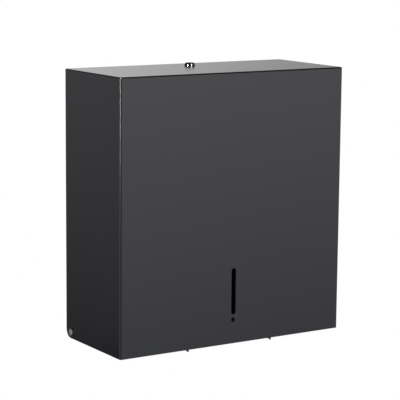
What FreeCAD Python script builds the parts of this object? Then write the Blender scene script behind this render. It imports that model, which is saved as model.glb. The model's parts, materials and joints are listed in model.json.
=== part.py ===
# Jumbo toilet roll dispenser: a square folded steel box on a wall. The cover swings forward on two
# hinge screws low at the back, and a cam lock in its top catches a notched keeper on the back plate.
# A moulded spool carries the roll, and two serrated blades under the tray tear the paper.
#
# Frame: X across the front, +Z up, Y = 0 the wall and the front face at negative Y. The origin is
# the middle of the four wall fixings, which is also where the spool's axis meets the wall.
import FreeCAD, Part
import math
import os

import Sketcher

document = FreeCAD.newDocument("jumbo_roll_dispenser")
sheet = document.addObject("Spreadsheet::Sheet", "Sizes")

# Driving dimensions in millimetres, and counts. "From the wall" is measured along -Y, and
# "height" is above the cover's lower edge unless the name says otherwise.
SIZES = [
    # Cover
    ("cover_width", 298, "outside, left to right"),
    ("cover_height", 312, "outside, lower edge to top"),
    ("cover_reach", 128, "wall to front face"),
    ("cover_wall_gap", 2, "wall to the cover's rear edges"),
    ("cover_sheet", 1.2, "thickness"),
    ("cover_bend", 1.8, "outside radius of the folded edges"),
    ("rear_corner", 10, "radius of the lower rear corners"),
    ("slot_width", 6, "sight slot"),
    ("slot_length", 54, "sight slot, end to end"),
    ("slot_base", 34, "height of the sight slot's lower end"),
    ("dot_radius", 2.85, "round sight hole under the slot"),
    ("dot_height", 27.8, "height of the round sight hole's centre"),
    # Hinge
    ("hinge_from_wall", 15, "axis"),
    ("bush_radius", 4, "barrel of the hinge bush"),
    ("bush_flange_radius", 5.1, "outside flange of the hinge bush"),
    ("bush_flange", 0.6, "thickness"),
    ("shoulder_radius", 2.5, "hinge screw's shoulder"),
    ("hinge_thread_radius", 2, "hinge screw's threaded end"),
    ("hinge_head_radius", 4, "hinge screw's low head"),
    ("hinge_head", 1.4, "height of the low head"),
    ("hinge_nut_flats", 7, "across flats"),
    ("hinge_nut_height", 3.2, "thickness"),
    ("nut_gap", 0.6, "hinge nut to the tray's fold"),
    ("thread_end", 0.8, "thread that shows past a nut"),
    ("running_gap", 0.05, "radial clearance of a turning fit"),
    ("face_gap", 0.1, "clearance between faces that turn past each other"),
    ("hole_gap", 0.1, "radial clearance round a fastener"),
    # Back plate
    ("plate_sheet", 1.5, "thickness of back plate and tray"),
    ("plate_gap", 2, "back plate to the inside of the cover"),
    ("plate_bend", 2.5, "outside radius of the folds"),
    ("plate_base", 2, "height of the back plate's lower edge"),
    ("flange_depth", 24, "side flanges, from the wall"),
    ("gusset_depth", 72, "side flanges beside the tray, from the wall"),
    ("gusset_rise", 22, "top of the gusset above the tray's underside"),
    ("gusset_slope", 70, "height of the gusset's slanting edge"),
    ("corner_relief", 6, "gap between top flange and side flanges"),
    ("fixing_spacing_x", 200, "wall fixings, across"),
    ("fixing_spacing_z", 180, "wall fixings, up"),
    ("fixing_radius", 2.75, "half the width of a fixing slot"),
    ("fixing_length", 12, "fixing slot, end to end"),
    # Lock and keeper
    ("lock_from_wall", 30, "axis"),
    ("lock_offset", 0, "axis, right of the middle"),
    ("bezel_radius", 6.6, "rounded head above the cover"),
    ("bezel_height", 3.2, "above the cover"),
    ("bezel_round", 2, "height of the slope round the head's upper edge"),
    ("barrel_radius", 4.75, "threaded barrel under the head"),
    ("barrel_length", 13.2, "under the top of the cover"),
    ("plug_radius", 3.05, "turning plug in the barrel"),
    ("plug_head_radius", 4, "head of the plug"),
    ("plug_head", 1.2, "thickness of the plug's head"),
    ("plug_recess", 0.4, "plug head below the rim of the bezel"),
    ("key_side", 3.6, "three-sided key socket"),
    ("key_depth", 3, "key socket"),
    ("tang_side", 4, "square end of the plug"),
    ("lock_nut_flats", 13, "across flats"),
    ("lock_nut_height", 3, "thickness"),
    ("cam_radius", 6, "half the cam's width"),
    ("cam_reach", 18, "lock axis to the centre of the cam's rounded tip"),
    ("cam_sheet", 1.5, "thickness"),
    ("cam_gap", 0.5, "locked cam to the keeper's lips"),
    ("cam_screw_radius", 1.5, "thread"),
    ("cam_screw_flats", 5.5, "head, across flats"),
    ("cam_screw_head", 2, "height of head"),
    ("cam_screw_length", 4, "thread"),
    ("notch_radius", 12, "half the width of the keeper's notch"),
    ("lip_depth", 14, "keeper's lips, from the top of the flange"),
    ("lip_end", 42, "outer ends of the lips from the lock axis"),
    # Spool and its axle, from the wall outwards
    ("spindle_height", 150, "axis"),
    ("spindle_plate_radius", 32, "round plate spot-welded to the back plate"),
    ("spindle_plate_sheet", 2, "thickness"),
    ("axle_radius", 10, "steel bar welded to the round plate"),
    ("tapped_depth", 12, "threaded hole in the bar's front end"),
    ("collar_radius", 31, "rear collar of the spool"),
    ("collar_height", 3, "thickness"),
    ("barrel_outer", 21, "radius of the spool that carries the core"),
    ("barrel_span", 86, "straight stretch of the spool"),
    ("nose_radius", 19.6, "front end of the spool"),
    ("nose_length", 6, "taper that leads the core on"),
    ("spool_wall", 2.4, "moulded wall"),
    ("rib_count", 6, "ribs inside the spool"),
    ("rib_width", 1.6, "thickness"),
    ("rib_setback", 6, "rib ends behind the nose"),
    ("end_float", 0.4, "play of the spool along its axle"),
    ("spool_flange_radius", 14.5, "flange of the screw that keeps the spool on"),
    ("spool_flange", 1.5, "thickness"),
    ("spool_thread_radius", 3, "screw in the axle's end"),
    ("spool_screw_length", 10, "under the flange"),
    ("spool_head_radius", 5.25, "screw head"),
    ("spool_head", 3.2, "screw head"),
    ("socket_flats", 4, "hexagon socket in the screw head"),
    ("hinge_socket_flats", 2.5, "hexagon socket in a hinge screw"),
    # Tray
    ("tray_height", 1.9, "underside of the tray"),
    ("tray_front_gap", 4, "tray to the inside of the cover's front"),
    ("tray_rear_gap", 0.5, "tray to the back plate's folds"),
    ("tray_upstand", 12, "height of the tray's rim from its underside"),
    ("tray_bend", 2, "outside radius of the folds"),
    ("outlet_width", 112, "paper outlet between the blades"),
    ("outlet_rear", 14, "wall to the outlet's rear edge"),
    ("outlet_front", 114, "wall to the outlet's front edge"),
    ("outlet_corner", 6, "radius"),
    # Blades
    ("blade_sheet", 1.2, "thickness"),
    ("blade_flange", 14, "width of the riveted flange"),
    ("blade_bend", 2, "outside radius of the fold"),
    ("blade_drop", 4.3, "tooth tips below the cover's lower edge"),
    ("blade_front", 122, "wall to the front end"),
    ("blade_rear", 8, "wall to the rear end"),
    ("tooth_pitch", 4, "tip to tip"),
    ("tooth_depth", 1.8, "tip to root"),
    # Rivets that hold the blades
    ("rivet_radius", 1.6, "shank"),
    ("rivet_head_radius", 3.2, "head under the blade"),
    ("rivet_head", 0.9, "height of the head"),
    ("rivet_tail", 1.2, "shank that stands up inside the tray"),
    ("rivet_first", 27, "wall to the first rivet"),
    ("rivet_spacing", 76, "between the rivets of a blade"),
    ("rivet_count", 2, "rivets in each blade"),
]
for row, (alias, value, note) in enumerate(SIZES, start=1):
    sheet.set(f"A{row}", alias)
    sheet.set(f"B{row}", str(value))
    sheet.setAlias(f"B{row}", alias)
    sheet.set(f"C{row}", note)

# Places worked out from the driving dimensions, as cells that hold formulas.
PLACES = [
    ("cover_base", "=-spindle_height"),
    ("cover_top", "=cover_height - spindle_height"),
    ("half_cover", "=cover_width / 2"),
    ("hinge_z", "=cover_base + tray_height + tray_bend + hinge_nut_flats / 2 + nut_gap"),
    ("plate_half", "=half_cover - cover_sheet - plate_gap"),
    ("plate_top", "=cover_top - cover_sheet - plate_gap"),
    ("plate_low", "=plate_base - spindle_height"),
    ("tray_low", "=tray_height - spindle_height"),
    ("tray_half", "=plate_half - plate_sheet"),
    ("nut_seat", "=tray_half - plate_sheet"),
    ("tray_front", "=cover_reach - cover_sheet - tray_front_gap"),
    ("keeper_depth", "=lock_from_wall + cam_radius + cam_gap + plate_sheet"),
    ("shoulder_length", "=bush_flange + cover_sheet + plate_gap + face_gap"),
    ("spindle_seat", "=plate_sheet + spindle_plate_sheet"),
    ("spool_rear", "=spindle_seat + face_gap"),
    ("barrel_start", "=spool_rear + collar_height"),
    ("barrel_end", "=barrel_start + barrel_span"),
    ("spool_front", "=barrel_end + nose_length"),
    ("axle_front", "=spool_front + end_float"),
    ("bore_radius", "=axle_radius + running_gap"),
    ("blade_length", "=blade_front - blade_rear"),
    ("tooth_count", "=floor(blade_length / tooth_pitch)"),
    ("cam_top", "=-barrel_length - face_gap"),
]
for row, (alias, formula) in enumerate(PLACES, start=len(SIZES) + 1):
    sheet.set(f"A{row}", alias)
    sheet.set(f"B{row}", formula)
    sheet.setAlias(f"B{row}", alias)
document.recompute()

NAMES = sorted((alias for alias, *rest in SIZES + PLACES), key=len, reverse=True)
subparts = []


def size(formula):
    """Put the sheet's name before each alias in a formula."""
    words = []
    word = ""
    for letter in str(formula) + " ":
        if letter.isalnum() or letter == "_":
            word += letter
            continue
        words.append("Sizes." + word if word in NAMES else word)
        words.append(letter)
        word = ""
    return "".join(words).strip()


def number(formula):
    return float(sheet.evalExpression(size(formula)))


def bind(thing, prop, formula):
    thing.setExpression(prop, size(formula))


def new_body(label, x=None, y=None, z=None):
    """A sub-part of its own, with its local origin at a place worked out from the sheet."""
    body = document.addObject("PartDesign::Body", label)
    body.Label = label
    for axis, formula in (("x", x), ("y", y), ("z", z)):
        if formula is not None:
            bind(body, f"Placement.Base.{axis}", formula)
    subparts.append(body)
    return body


def origin_feature(body, role):
    return next(feature for feature in body.Origin.OriginFeatures if feature.Role == role)


def new_sketch(body, name, role, offset=None):
    """A sketch on an origin plane: XY looks down, XZ from the front with its normal towards -Y,
    and YZ from the right."""
    sketch = body.newObject("Sketcher::SketchObject", name)
    sketch.AttachmentSupport = [(origin_feature(body, role), "")]
    sketch.MapMode = "FlatFace"
    if offset is not None:
        bind(sketch, "AttachmentOffset.Base.z", offset)
    return sketch


def pin_point(sketch, geometry, end, x, y):
    """Hold a point of the sketch at two formulas."""
    for kind, formula in (("DistanceX", x), ("DistanceY", y)):
        place = sketch.addConstraint(Sketcher.Constraint(kind, -1, 1, geometry, end, number(formula)))
        bind(sketch, f"Constraints[{place}]", formula)


def outline(sketch, points):
    """A closed polygon whose corners are pairs of formulas."""
    spots = [FreeCAD.Vector(number(x), number(y), 0) for x, y in points]
    count = len(spots)
    lines = [sketch.addGeometry(Part.LineSegment(spots[i], spots[(i + 1) % count])) for i in range(count)]
    for i in range(count):
        sketch.addConstraint(Sketcher.Constraint("Coincident", lines[i], 2, lines[(i + 1) % count], 1))
    for line, (x, y) in zip(lines, points):
        pin_point(sketch, line, 1, x, y)


def rectangle(sketch, x_low, x_high, y_low, y_high):
    outline(sketch, [(x_low, y_low), (x_high, y_low), (x_high, y_high), (x_low, y_high)])


def circle(sketch, x, y, radius):
    centre = FreeCAD.Vector(number(x), number(y), 0)
    ring = sketch.addGeometry(Part.Circle(centre, FreeCAD.Vector(0, 0, 1), number(radius)))
    place = sketch.addConstraint(Sketcher.Constraint("Radius", ring, number(radius)))
    bind(sketch, f"Constraints[{place}]", radius)
    pin_point(sketch, ring, 3, x, y)


def stadium(sketch, x_first, y_first, x_last, y_last, radius):
    """A slot: two half circles about the given centres, joined by two straight sides."""
    first = FreeCAD.Vector(number(x_first), number(y_first), 0)
    last = FreeCAD.Vector(number(x_last), number(y_last), 0)
    r = number(radius)
    turn = math.atan2(last.y - first.y, last.x - first.x)
    side = FreeCAD.Vector(-math.sin(turn) * r, math.cos(turn) * r, 0)
    up = FreeCAD.Vector(0, 0, 1)
    half = math.pi / 2
    arcs = [
        sketch.addGeometry(Part.ArcOfCircle(Part.Circle(first, up, r), turn + half, turn + 3 * half)),
        sketch.addGeometry(Part.ArcOfCircle(Part.Circle(last, up, r), turn - half, turn + half)),
    ]
    lines = [
        sketch.addGeometry(Part.LineSegment(first - side, last - side)),
        sketch.addGeometry(Part.LineSegment(last + side, first + side)),
    ]
    for one, one_end, other, other_end in (
        (arcs[0], 2, lines[0], 1),
        (lines[0], 2, arcs[1], 1),
        (arcs[1], 2, lines[1], 1),
        (lines[1], 2, arcs[0], 1),
    ):
        sketch.addConstraint(Sketcher.Constraint("Tangent", one, one_end, other, other_end))
    sketch.addConstraint(Sketcher.Constraint("Equal", arcs[0], arcs[1]))
    place = sketch.addConstraint(Sketcher.Constraint("Radius", arcs[0], r))
    bind(sketch, f"Constraints[{place}]", radius)
    pin_point(sketch, arcs[0], 3, x_first, y_first)
    # The second centre shares one coordinate with the first, so only the other one is held.
    along_x = abs(last.x - first.x) > abs(last.y - first.y)
    kind, formula = ("DistanceX", x_last) if along_x else ("DistanceY", y_last)
    place = sketch.addConstraint(Sketcher.Constraint(kind, -1, 1, arcs[1], 3, number(formula)))
    bind(sketch, f"Constraints[{place}]", formula)
    level = "Horizontal" if along_x else "Vertical"
    sketch.addConstraint(Sketcher.Constraint(level, lines[0]))


def regular(sketch, sides, flats, flat_up=False):
    """A regular polygon about the sketch's origin, from its size across flats."""
    reach = 0.5 / math.cos(math.pi / sides)
    start = math.pi / 2 + (math.pi / sides if flat_up else 0)
    points = []
    for i in range(sides):
        angle = start + 2 * math.pi * i / sides
        points.append((f"{reach * math.cos(angle):.6f} * {flats}", f"{reach * math.sin(angle):.6f} * {flats}"))
    outline(sketch, points)


def extrude(body, kind, name, sketch, length=None, reverse=False, both=False):
    """A pad or pocket; with no length it goes through all. A pocket cuts against its sketch's normal."""
    feature = body.newObject(f"PartDesign::{kind}", name)
    feature.Profile = sketch
    feature.Reversed = reverse
    if both:
        feature.Midplane = True
    if length is None:
        feature.Type = "ThroughAll"
    else:
        bind(feature, "Length", length)
    sketch.Visibility = False
    document.recompute()
    return feature


def pad(body, name, sketch, length, reverse=False, both=False):
    return extrude(body, "Pad", name, sketch, length, reverse, both)


def pocket(body, name, sketch, length=None, reverse=False, both=False):
    return extrude(body, "Pocket", name, sketch, length, reverse, both)


def revolve(body, name, sketch, axis):
    feature = body.newObject("PartDesign::Revolution", name)
    feature.Profile = sketch
    feature.ReferenceAxis = (sketch, [axis])
    feature.Angle = 360
    document.recompute()
    return feature


def pick_edges(feature, test):
    """Names of the feature's edges whose two ends and middle pass a test."""
    found = []
    for number_of, edge in enumerate(feature.Shape.Edges, start=1):
        if test(edge):
            found.append(f"Edge{number_of}")
    return found


def fillet(body, name, base, edges, radius):
    feature = body.newObject("PartDesign::Fillet", name)
    feature.Base = (base, edges)
    bind(feature, "Radius", radius)
    document.recompute()
    return feature


def at(edge, x=None, y=None, z=None):
    """Whether all of an edge lies at the given coordinates."""
    box = edge.BoundBox
    for formula, low, high in ((x, box.XMin, box.XMax), (y, box.YMin, box.YMax), (z, box.ZMin, box.ZMax)):
        if formula is not None and max(abs(low - number(formula)), abs(high - number(formula))) > 1e-4:
            return False
    return True


def mirror(body, name, feature, role="YZ_Plane"):
    twin = body.newObject("PartDesign::Mirrored", name)
    twin.Originals = [feature]
    twin.MirrorPlane = (origin_feature(body, role), [""])
    body.Tip = twin
    document.recompute()
    return twin


def both_sides(body):
    """Repeat the whole of a body on the other side of the dispenser's middle."""
    twin = body.newObject("PartDesign::Mirrored", "other_side")
    twin.TransformMode = "Whole shape"
    twin.MirrorPlane = (origin_feature(body, "YZ_Plane"), [""])
    body.Tip = twin
    document.recompute()


def row_of(body, name, feature, role, spacing, count, reverse=False):
    line = body.newObject("PartDesign::LinearPattern", name)
    line.Originals = [feature]
    line.Direction = (origin_feature(body, role), [""])
    line.Mode = "Spacing"
    line.Reversed = reverse
    bind(line, "Offset", spacing)
    bind(line, "Occurrences", count)
    body.Tip = line
    document.recompute()
    return line


def ring_of(body, name, feature, role, count):
    ring = body.newObject("PartDesign::PolarPattern", name)
    ring.Originals = [feature]
    ring.Axis = (origin_feature(body, role), [""])
    ring.Angle = 360
    bind(ring, "Occurrences", count)
    body.Tip = ring
    document.recompute()
    return ring


def row_on_both_sides(body, name, feature, role, spacing, count):
    """A row along an origin axis towards the front, repeated on the other side of the middle."""
    both = body.newObject("PartDesign::MultiTransform", name)
    row = body.newObject("PartDesign::LinearPattern", name + "_row")
    row.Direction = (origin_feature(body, role), [""])
    row.Mode = "Spacing"
    row.Reversed = True
    bind(row, "Offset", spacing)
    bind(row, "Occurrences", count)
    twin = body.newObject("PartDesign::Mirrored", name + "_twin")
    twin.MirrorPlane = (origin_feature(body, "YZ_Plane"), [""])
    both.Originals = [feature]
    both.Transformations = [row, twin]
    body.Tip = both
    document.recompute()
    return both


# Cover: one sheet folded into front, sides and top, open below and at the back.
def cover_shell():
    body = new_body("cover_shell")
    side = new_sketch(body, "side_view", "YZ_Plane")
    rectangle(side, "-cover_reach", "-cover_wall_gap", "cover_base", "cover_top")
    block = pad(body, "block", side, "cover_width", both=True)
    folds = pick_edges(
        block,
        lambda edge: (at(edge, y="-cover_reach") and not at(edge, z="cover_base"))
        or (at(edge, z="cover_top") and (at(edge, x="half_cover") or at(edge, x="-half_cover"))),
    )
    folded = fillet(body, "folds", block, folds, "cover_bend")
    inside = new_sketch(body, "inside_view", "YZ_Plane")
    front = "-cover_reach + cover_sheet"
    ceiling = "cover_top - cover_sheet"
    wall = "half_cover - cover_sheet"
    rectangle(inside, front, "-cover_wall_gap", "cover_base", ceiling)
    shell = pocket(body, "inside", inside, "cover_width - 2 * cover_sheet", both=True)
    creases = pick_edges(
        shell,
        lambda edge: at(edge, y=front) and (at(edge, x=wall) or at(edge, x=f"-({wall})") or at(edge, z=ceiling))
        or at(edge, z=ceiling) and (at(edge, x=wall) or at(edge, x=f"-({wall})")),
    )
    creased = fillet(body, "creases", shell, creases, "cover_bend - cover_sheet")
    corners = pick_edges(creased, lambda edge: at(edge, y="-cover_wall_gap", z="cover_base"))
    fillet(body, "rear_corners", creased, corners, "rear_corner")

    slot = new_sketch(body, "sight_slot_outline", "XZ_Plane")
    radius = "slot_width / 2"
    low = "cover_base + slot_base + slot_width / 2"
    high = "cover_base + slot_base + slot_length - slot_width / 2"
    stadium(slot, "0", low, "0", high, radius)
    circle(slot, "0", "cover_base + dot_height", "dot_radius")
    pocket(body, "sight_slot", slot, reverse=True)

    lock_hole = new_sketch(body, "lock_hole_outline", "XY_Plane")
    circle(lock_hole, "lock_offset", "-lock_from_wall", "barrel_radius + hole_gap")
    pocket(body, "lock_hole", lock_hole, reverse=True)

    pivots = new_sketch(body, "pivot_outline", "YZ_Plane")
    circle(pivots, "-hinge_from_wall", "hinge_z", "bush_radius + hole_gap")
    pocket(body, "pivot_holes", pivots, both=True)


# Back plate: a web on the wall, side flanges that deepen beside the tray, and a top flange whose
# notch and lips are the keeper for the lock's cam.
def back_plate():
    body = new_body("back_plate")
    web = new_sketch(body, "web_outline", "XZ_Plane")
    rectangle(web, "-plate_half", "plate_half", "plate_low", "plate_top")
    pad(body, "web", web, "plate_sheet")

    side = new_sketch(body, "side_flange_outline", "YZ_Plane", "plate_half - plate_sheet")
    gusset_top = "tray_low + gusset_rise"
    outline(side, [
        ("0", "plate_low"),
        ("-gusset_depth", "plate_low"),
        ("-gusset_depth", gusset_top),
        ("-flange_depth", "tray_low + gusset_rise + gusset_slope"),
        ("-flange_depth", "plate_top - corner_relief"),
        ("0", "plate_top - corner_relief"),
    ])
    flange = pad(body, "side_flange", side, "plate_sheet")
    flanges = mirror(body, "side_flanges", flange)
    outer = pick_edges(
        flanges, lambda edge: at(edge, x="plate_half", y="0") or at(edge, x="-plate_half", y="0"))
    outer_folds = fillet(body, "side_folds_outside", flanges, outer, "plate_bend")
    inner = pick_edges(
        outer_folds,
        lambda edge: at(edge, x="tray_half", y="-plate_sheet") or at(edge, x="-tray_half", y="-plate_sheet"))
    fillet(body, "side_folds_inside", outer_folds, inner, "plate_bend - plate_sheet")

    top = new_sketch(body, "top_flange_outline", "XY_Plane", "plate_top - plate_sheet")
    edge = "plate_half - corner_relief"
    rectangle(top, f"-({edge})", edge, "-keeper_depth", "0")
    pad(body, "top_flange", top, "plate_sheet")
    lips = new_sketch(body, "lip_outline", "XZ_Plane", "keeper_depth - plate_sheet")
    rectangle(lips, "lock_offset - lip_end", "lock_offset + lip_end", "plate_top - lip_depth", "plate_top")
    lip = pad(body, "keeper_lips", lips, "plate_sheet")
    brow = pick_edges(lip, lambda edge: at(edge, y="-keeper_depth", z="plate_top"))
    fillet(body, "lip_fold", lip, brow, "plate_bend")
    notch = new_sketch(body, "notch_outline", "XY_Plane", "plate_top")
    stadium(notch, "lock_offset", "-lock_from_wall", "lock_offset", "-keeper_depth - notch_radius", "notch_radius")
    pocket(body, "keeper_notch", notch, "lip_depth * 1.5")

    fixings = new_sketch(body, "fixing_outline", "XZ_Plane")
    run = "(fixing_length / 2 - fixing_radius)"
    for x_side in ("-", ""):
        for z_side in ("-", ""):
            centre = f"{x_side}fixing_spacing_x / 2"
            level = f"{z_side}fixing_spacing_z / 2"
            stadium(fixings, f"{centre} - {run}", level, f"{centre} + {run}", level, "fixing_radius")
    pocket(body, "fixing_slots", fixings, "plate_sheet", reverse=True)

    pivots = new_sketch(body, "pivot_outline", "YZ_Plane")
    circle(pivots, "-hinge_from_wall", "hinge_z", "hinge_thread_radius + hole_gap")
    pocket(body, "pivot_holes", pivots, both=True)


def bottom_tray():
    """A shallow pan, open to the wall, with the paper outlet in its floor."""
    body = new_body("bottom_tray")
    plan = new_sketch(body, "plan", "XY_Plane", "tray_low")
    rear = "-(plate_bend + tray_rear_gap)"
    rectangle(plan, "-tray_half", "tray_half", "-tray_front", rear)
    block = pad(body, "block", plan, "tray_upstand")
    bends = pick_edges(block, lambda edge: at(edge, z="tray_low") and not at(edge, y=rear))
    fillet(body, "folds", block, bends, "tray_bend")
    inside = new_sketch(body, "inside_plan", "XY_Plane", "tray_low + tray_upstand")
    wall = "tray_half - plate_sheet"
    rectangle(inside, f"-({wall})", wall, "-tray_front + plate_sheet", rear)
    pocket(body, "inside", inside, "tray_upstand - plate_sheet")

    outlet = new_sketch(body, "outlet_outline", "XY_Plane", "tray_low + plate_sheet")
    rectangle(outlet, "-outlet_width / 2", "outlet_width / 2", "-outlet_front", "-outlet_rear")
    cut = pocket(body, "paper_outlet", outlet, "plate_sheet")
    corners = pick_edges(
        cut,
        lambda edge: (at(edge, x="outlet_width / 2") or at(edge, x="-outlet_width / 2"))
        and (at(edge, y="-outlet_front") or at(edge, y="-outlet_rear")),
    )
    fillet(body, "outlet_corners", cut, corners, "outlet_corner")

    holes = new_sketch(body, "rivet_outline", "XY_Plane", "tray_low + plate_sheet")
    for i in range(int(number("rivet_count"))):
        along = f"-rivet_first - {i} * rivet_spacing"
        for side in ("-", ""):
            circle(holes, f"{side}(outlet_width / 2 + blade_flange / 2)", along, "rivet_radius + hole_gap")
    pocket(body, "rivet_holes", holes, "plate_sheet")
    pivots = new_sketch(body, "pivot_outline", "YZ_Plane")
    circle(pivots, "-hinge_from_wall", "hinge_z", "hinge_thread_radius + hole_gap")
    pocket(body, "pivot_holes", pivots, both=True)


def tear_blade(label, side):
    """An angle of sheet under the tray beside the outlet, with teeth along its lower edge.
    side is 1 on the right and -1 on the left."""
    body = new_body(label)
    section = new_sketch(body, "section", "XZ_Plane", "blade_rear")
    inner = "outlet_width / 2"
    tip = "cover_base - blade_drop"
    outline(section, [
        (f"{side} * {inner}", tip),
        (f"{side} * ({inner} + blade_sheet)", tip),
        (f"{side} * ({inner} + blade_sheet)", "tray_low - blade_sheet"),
        (f"{side} * ({inner} + blade_flange)", "tray_low - blade_sheet"),
        (f"{side} * ({inner} + blade_flange)", "tray_low"),
        (f"{side} * {inner}", "tray_low"),
    ])
    angle = pad(body, "angle", section, "blade_length")
    outer = pick_edges(angle, lambda edge: at(edge, x=f"{side} * {inner}", z="tray_low"))
    folded = fillet(body, "fold_outside", angle, outer, "blade_bend")
    crease = pick_edges(
        folded, lambda edge: at(edge, x=f"{side} * ({inner} + blade_sheet)", z="tray_low - blade_sheet"))
    fillet(body, "fold_inside", folded, crease, "blade_bend - blade_sheet")

    holes = new_sketch(body, "hole_outline", "XY_Plane", "tray_low")
    for i in range(int(number("rivet_count"))):
        along = f"-rivet_first - {i} * rivet_spacing"
        circle(holes, f"{side} * ({inner} + blade_flange / 2)", along, "rivet_radius + hole_gap")
    pocket(body, "rivet_holes", holes, "blade_sheet")

    gullet = new_sketch(body, "gullet_outline", "YZ_Plane")
    start = "-blade_front"
    outline(gullet, [
        (start, tip),
        (f"{start} + tooth_pitch", tip),
        (f"{start} + tooth_pitch / 2", f"{tip} + tooth_depth"),
    ])
    cut = pocket(body, "gullet", gullet, both=True)
    row_of(body, "teeth", cut, "Y_Axis", "tooth_pitch", "tooth_count")


def turned(body, name, role, profile, along, axis="0", offset=None):
    """Turn a closed profile about an axis in the sketch. The profile lists places along the axis and
    radii, along says which of the sketch's directions the axis takes, and axis is where it lies."""
    sketch = new_sketch(body, name + "_profile", role, offset)

    def spot(place, radius):
        side = f"({axis}) + ({radius})"
        return (place, side) if along == "x" else (side, place)

    outline(sketch, [spot(place, radius) for place, radius in profile])
    ends = [spot(profile[0][0], "0"), spot(profile[-1][0], "0")]
    if number(profile[0][0]) == number(profile[-1][0]):
        ends[1] = spot(f"{profile[0][0]} + 1", "0")
    start, finish = (FreeCAD.Vector(number(x), number(y), 0) for x, y in ends)
    line = sketch.addGeometry(Part.LineSegment(start, finish), True)
    for end, (x, y) in enumerate(ends, start=1):
        pin_point(sketch, line, end, x, y)
    return revolve(body, name, sketch, "Axis0")


def hex_socket(body, name, role, offset, flats, depth, reverse=False):
    socket = new_sketch(body, name + "_outline", role, offset)
    regular(socket, 6, flats)
    return pocket(body, name, socket, depth, reverse=reverse)


def blade_rivets():
    """Rivets through blade and tray, with their heads below and their ends inside the tray."""
    body = new_body("blade_rivets")
    under = "(tray_low - blade_sheet)"
    above = "(tray_low + plate_sheet)"
    one = turned(body, "rivet", "XZ_Plane", [
        (f"{under} - rivet_head", "0"),
        (f"{under} - rivet_head", "rivet_head_radius"),
        (under, "rivet_head_radius"),
        (under, "rivet_radius"),
        (f"{above} + rivet_tail", "rivet_radius"),
        (f"{above} + rivet_tail", "0"),
    ], "y", axis="outlet_width / 2 + blade_flange / 2", offset="rivet_first")
    row_on_both_sides(body, "rows", one, "Y_Axis", "rivet_spacing", "rivet_count")


# Hinge: each side has a shouldered screw in the back plate's flange, a nut behind it, and a nylon
# bush in the cover that turns on the screw's shoulder.
def hinge_screws():
    body = new_body("hinge_screws", y="-hinge_from_wall", z="hinge_z")
    under_head = "(plate_half + shoulder_length)"
    tip = "(nut_seat - hinge_nut_height - thread_end)"
    turned(body, "screw", "XZ_Plane", [
        (tip, "0"),
        (tip, "hinge_thread_radius"),
        ("plate_half", "hinge_thread_radius"),
        ("plate_half", "shoulder_radius"),
        (under_head, "shoulder_radius"),
        (under_head, "hinge_head_radius"),
        (f"{under_head} + hinge_head", "hinge_head_radius"),
        (f"{under_head} + hinge_head", "0"),
    ], "x")
    hex_socket(body, "socket", "YZ_Plane", f"{under_head} + hinge_head", "hinge_socket_flats", "hinge_head * 0.6")
    both_sides(body)


def hinge_bushes():
    body = new_body("hinge_bushes", y="-hinge_from_wall", z="hinge_z")
    bore = "shoulder_radius + running_gap"
    turned(body, "bush", "XZ_Plane", [
        ("plate_half + face_gap", bore),
        ("plate_half + face_gap", "bush_radius"),
        ("half_cover", "bush_radius"),
        ("half_cover", "bush_flange_radius"),
        ("half_cover + bush_flange", "bush_flange_radius"),
        ("half_cover + bush_flange", bore),
    ], "x")
    both_sides(body)


def hinge_nuts():
    body = new_body("hinge_nuts", y="-hinge_from_wall", z="hinge_z")
    plan = new_sketch(body, "plan", "YZ_Plane", "nut_seat - hinge_nut_height")
    regular(plan, 6, "hinge_nut_flats", flat_up=True)
    circle(plan, "0", "0", "hinge_thread_radius + running_gap")
    pad(body, "nut", plan, "hinge_nut_height")
    both_sides(body)


# Lock: a barrel clamped in the cover's top by a nut. Its plug turns a cam below the keeper's level.
def lock_body(label):
    return new_body(label, "lock_offset", "-lock_from_wall", "cover_top")


def lock_barrel():
    body = lock_body("lock_barrel")
    bore = "plug_radius + running_gap"
    seat = "bezel_height - plug_recess - plug_head"
    mouth = "plug_head_radius + running_gap"
    turned(body, "barrel", "XZ_Plane", [
        ("-barrel_length", bore),
        ("-barrel_length", "barrel_radius"),
        ("0", "barrel_radius"),
        ("0", "bezel_radius"),
        ("bezel_height - bezel_round", "bezel_radius"),
        ("bezel_height", "bezel_radius - bezel_round * 0.7"),
        ("bezel_height", mouth),
        (seat, mouth),
        (seat, bore),
    ], "y")


def lock_nut():
    body = lock_body("lock_nut")
    plan = new_sketch(body, "plan", "XY_Plane", "-cover_sheet - lock_nut_height")
    regular(plan, 6, "lock_nut_flats")
    circle(plan, "0", "0", "barrel_radius + running_gap")
    pad(body, "nut", plan, "lock_nut_height")


def lock_plug():
    body = lock_body("lock_plug")
    top = "bezel_height - plug_recess"
    tapped = "cam_screw_radius + running_gap"
    turned(body, "plug", "XZ_Plane", [
        ("cam_top + cam_screw_length - cam_sheet", "0"),
        ("cam_top + cam_screw_length - cam_sheet", tapped),
        ("cam_top", tapped),
        ("cam_top", "plug_radius"),
        (f"{top} - plug_head", "plug_radius"),
        (f"{top} - plug_head", "plug_head_radius"),
        (top, "plug_head_radius"),
        (top, "0"),
    ], "y")
    tang = new_sketch(body, "tang_outline", "XY_Plane", "cam_top - cam_sheet")
    rectangle(tang, "-tang_side / 2", "tang_side / 2", "-tang_side / 2", "tang_side / 2")
    circle(tang, "0", "0", tapped)
    pad(body, "tang", tang, "cam_sheet")
    key = new_sketch(body, "key_outline", "XY_Plane", top)
    regular(key, 3, "key_side")
    pocket(body, "key_socket", key, "key_depth")


def lock_cam():
    """Unlocked at rest: the cam points back to the wall and slips out through the notch."""
    body = lock_body("lock_cam")
    plan = new_sketch(body, "plan", "XY_Plane", "cam_top - cam_sheet")
    stadium(plan, "0", "0", "0", "cam_reach", "cam_radius")
    side = "(tang_side / 2 + running_gap)"
    rectangle(plan, f"-{side}", side, f"-{side}", side)
    pad(body, "cam", plan, "cam_sheet")


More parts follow.
